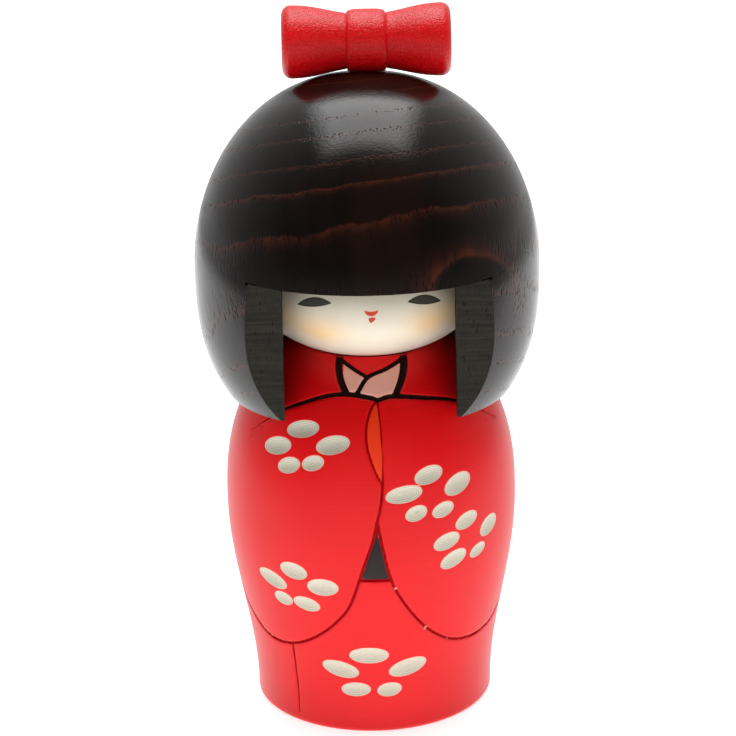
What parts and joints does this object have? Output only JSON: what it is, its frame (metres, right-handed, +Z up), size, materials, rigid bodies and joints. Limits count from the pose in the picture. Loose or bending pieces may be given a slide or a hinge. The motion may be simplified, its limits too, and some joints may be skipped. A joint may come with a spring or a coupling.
{
  "type": "kokeshi doll",
  "caption": "Turned wooden kokeshi doll with an egg-shaped kimono body, a bob-haired head with an open face window, and a bow on its crown; the head turns on a neck peg.",
  "frame": {"origin": "centre of the flat base, on the surface the doll stands on", "axes": "+Z up along the turning axis, -Y the way the doll faces, +X to the doll's left, which is the viewer's right"},
  "size_m": [0.074, 0.0738, 0.1535],
  "materials": {
    "red_lacquered_wood": "satin red lacquer over turned wood",
    "ivory_painted_wood": "satin ivory paint",
    "dark_stained_wood": "near-black stain under clear satin gloss, coarse grain showing",
    "plain_wood": "bare turned hardwood"
  },
  "bodies": {
    "body": {"kimono_body": "red_lacquered_wood", "neck_peg": "plain_wood"},
    "head": {"face_ball": "ivory_painted_wood", "hair_shell": "dark_stained_wood", "crown_peg": "plain_wood", "hair_bow": "red_lacquered_wood", "bow_peg": "plain_wood"}
  },
  "joints": [
    {"name": "head_turn", "type": "hinge", "parent": "body", "child": "head", "pos_m": [0, 0, 0.0824], "axis": [0, 0, 1], "continuous": true}
  ]
}
